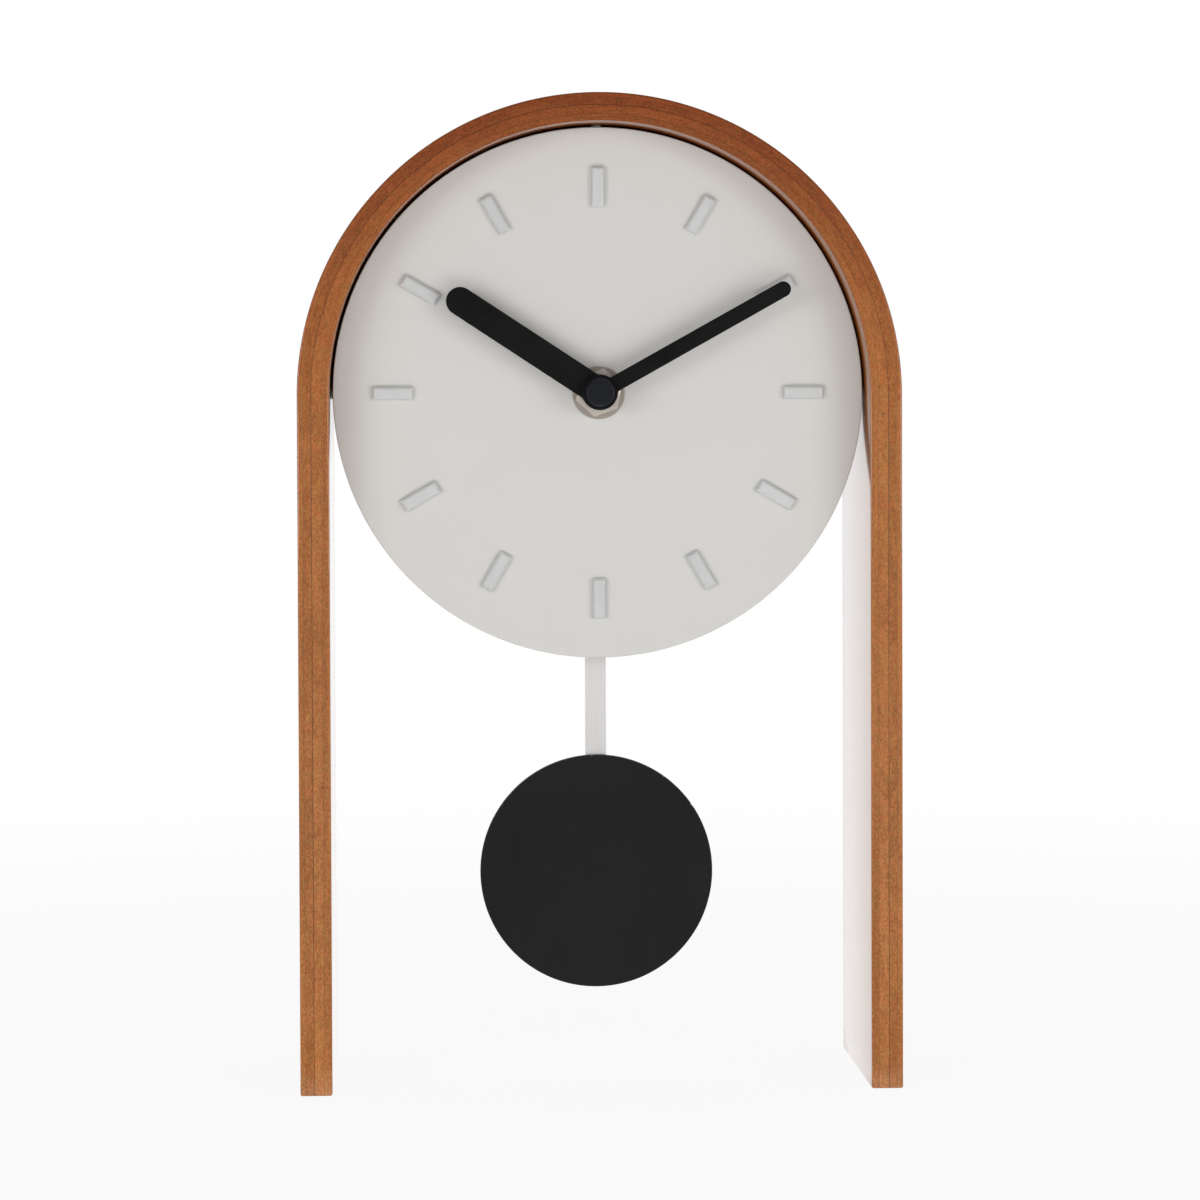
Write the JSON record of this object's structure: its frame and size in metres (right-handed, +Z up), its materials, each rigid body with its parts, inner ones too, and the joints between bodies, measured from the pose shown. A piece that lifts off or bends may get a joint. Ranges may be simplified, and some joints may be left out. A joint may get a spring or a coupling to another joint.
{
  "type": "desk pendulum clock",
  "caption": "Bent plywood arch that holds a round white dial with two black hands above an open gap, where a black disc pendulum swings.",
  "frame": {"origin": "on the table, under the middle of the arch, halfway between the two legs and halfway through its depth", "axes": "+Z up, -Y out of the dial towards the viewer, +X to the viewer's right"},
  "size_m": [0.17, 0.065, 0.281],
  "materials": {
    "ply_face": "lighter plies of bent plywood, warm brown stain under satin lacquer",
    "ply_core": "darker plies of bent plywood, warm brown stain under satin lacquer",
    "dial_lacquer": "warm white satin lacquer on fibreboard",
    "felt_black": "thin black felt strip",
    "marker_white": "semi-gloss white plastic",
    "hand_black": "matte black paint on thin sheet metal",
    "nickel": "bright nickel plate",
    "brass": "turned brass",
    "steel": "zinc-plated steel",
    "case_plastic": "black textured plastic",
    "gear_plastic": "natural white plastic",
    "magnet": "dark plated magnet",
    "motor_iron": "annealed soft iron sheet",
    "copper_wire": "varnished copper wire",
    "board": "green circuit board",
    "chip": "black moulded chip",
    "rod_aluminium": "fine satin aluminium",
    "bob_black": "matte black paint on a flat aluminium disc",
    "battery_can": "plain grey battery sleeve with bare metal ends"
  },
  "bodies": {
    "clock_frame": {"arch_outer_face_ply": "ply_face", "arch_outer_core_ply": "ply_core", "arch_inner_core_ply": "ply_face", "arch_inner_face_ply": "ply_core", "dial_disc": "dial_lacquer", "dial_pins": "steel", "dial_gap_felt": "felt_black", "hour_marker_01": "marker_white", "hour_marker_02": "marker_white", "hour_marker_03": "marker_white", "hour_marker_04": "marker_white", "hour_marker_05": "marker_white", "hour_marker_06": "marker_white", "hour_marker_07": "marker_white", "hour_marker_08": "marker_white", "hour_marker_09": "marker_white", "hour_marker_10": "marker_white", "hour_marker_11": "marker_white", "hour_marker_12": "marker_white", "centre_bushing": "brass", "fixing_washer": "nickel", "fixing_nut": "nickel", "movement_case_front": "case_plastic", "movement_case_back": "case_plastic", "case_screws": "steel", "train_plate": "case_plastic", "plate_screws": "steel", "stator": "motor_iron", "step_coil_core": "motor_iron", "step_coil_bobbin": "gear_plastic", "step_coil_winding": "copper_wire", "circuit_board": "board", "control_chip": "chip", "quartz_crystal": "steel", "drive_coil_bobbin": "gear_plastic", "drive_coil_winding": "copper_wire", "battery_contact_negative": "nickel", "battery_contact_positive": "nickel", "hanger_pivot_pin": "steel", "hanger_retainer": "steel"},
    "minute_hand_assembly": {"minute_hand": "hand_black", "minute_arbor": "steel", "hand_nut": "hand_black"},
    "hour_hand_assembly": {"hour_hand": "hand_black", "hour_wheel": "brass"},
    "setting_assembly": {"minute_wheel": "gear_plastic", "setting_knob": "gear_plastic"},
    "rotor_assembly": {"rotor": "gear_plastic", "rotor_magnet": "magnet"},
    "fifth_wheel_assembly": {"fifth_wheel": "gear_plastic"},
    "seconds_wheel_assembly": {"seconds_wheel": "gear_plastic"},
    "third_wheel_assembly": {"third_wheel": "gear_plastic"},
    "centre_wheel_assembly": {"centre_wheel": "gear_plastic"},
    "pendulum": {"pendulum_hanger": "gear_plastic", "hanger_magnet": "magnet", "pendulum_rod": "rod_aluminium", "pendulum_bob": "bob_black", "bob_clip": "steel", "bob_clip_screws": "steel"},
    "battery_cell": {"battery": "battery_can"}
  },
  "joints": [
    {"name": "minute_hand_turn", "type": "hinge", "parent": "clock_frame", "child": "minute_hand_assembly", "pos_m": [0, 0, 0.197], "axis": [0, 1, 0], "continuous": true},
    {"name": "hour_hand_turn", "type": "hinge", "parent": "clock_frame", "child": "hour_hand_assembly", "pos_m": [0, 0, 0.197], "axis": [0, 1, 0], "continuous": true},
    {"name": "setting_knob_turn", "type": "hinge", "parent": "clock_frame", "child": "setting_assembly", "pos_m": [0.012, 0, 0.197], "axis": [0, 1, 0], "continuous": true},
    {"name": "rotor_turn", "type": "hinge", "parent": "clock_frame", "child": "rotor_assembly", "pos_m": [0.00318, 0, 0.2123], "axis": [0, 1, 0], "continuous": true},
    {"name": "fifth_wheel_turn", "type": "hinge", "parent": "clock_frame", "child": "fifth_wheel_assembly", "pos_m": [-0.00084, 0, 0.20656], "axis": [0, 1, 0], "continuous": true},
    {"name": "seconds_wheel_turn", "type": "hinge", "parent": "clock_frame", "child": "seconds_wheel_assembly", "pos_m": [0, 0, 0.197], "axis": [0, 1, 0], "continuous": true},
    {"name": "third_wheel_turn", "type": "hinge", "parent": "clock_frame", "child": "third_wheel_assembly", "pos_m": [0, 0, 0.18764], "axis": [0, 1, 0], "continuous": true},
    {"name": "centre_wheel_turn", "type": "hinge", "parent": "clock_frame", "child": "centre_wheel_assembly", "pos_m": [0, 0, 0.197], "axis": [0, 1, 0], "continuous": true},
    {"name": "pendulum_swing", "type": "hinge", "parent": "clock_frame", "child": "pendulum", "pos_m": [0, 0, 0.23], "axis": [0, 1, 0], "range_deg": [-7, 7]},
    {"name": "battery_slide", "type": "slide", "parent": "clock_frame", "child": "battery_cell", "axis": [0, 1, 0], "range_m": [0, 0.018]}
  ],
  "couplings": [
    {"joint": "hour_hand_turn", "follows": "minute_hand_turn", "ratio": 0.083333},
    {"joint": "setting_knob_turn", "follows": "minute_hand_turn", "ratio": -0.33333},
    {"joint": "fifth_wheel_turn", "follows": "rotor_turn", "ratio": -0.16667},
    {"joint": "seconds_wheel_turn", "follows": "rotor_turn", "ratio": 0.033333},
    {"joint": "third_wheel_turn", "follows": "rotor_turn", "ratio": -0.0044444},
    {"joint": "centre_wheel_turn", "follows": "rotor_turn", "ratio": 0.00055556}
  ]
}
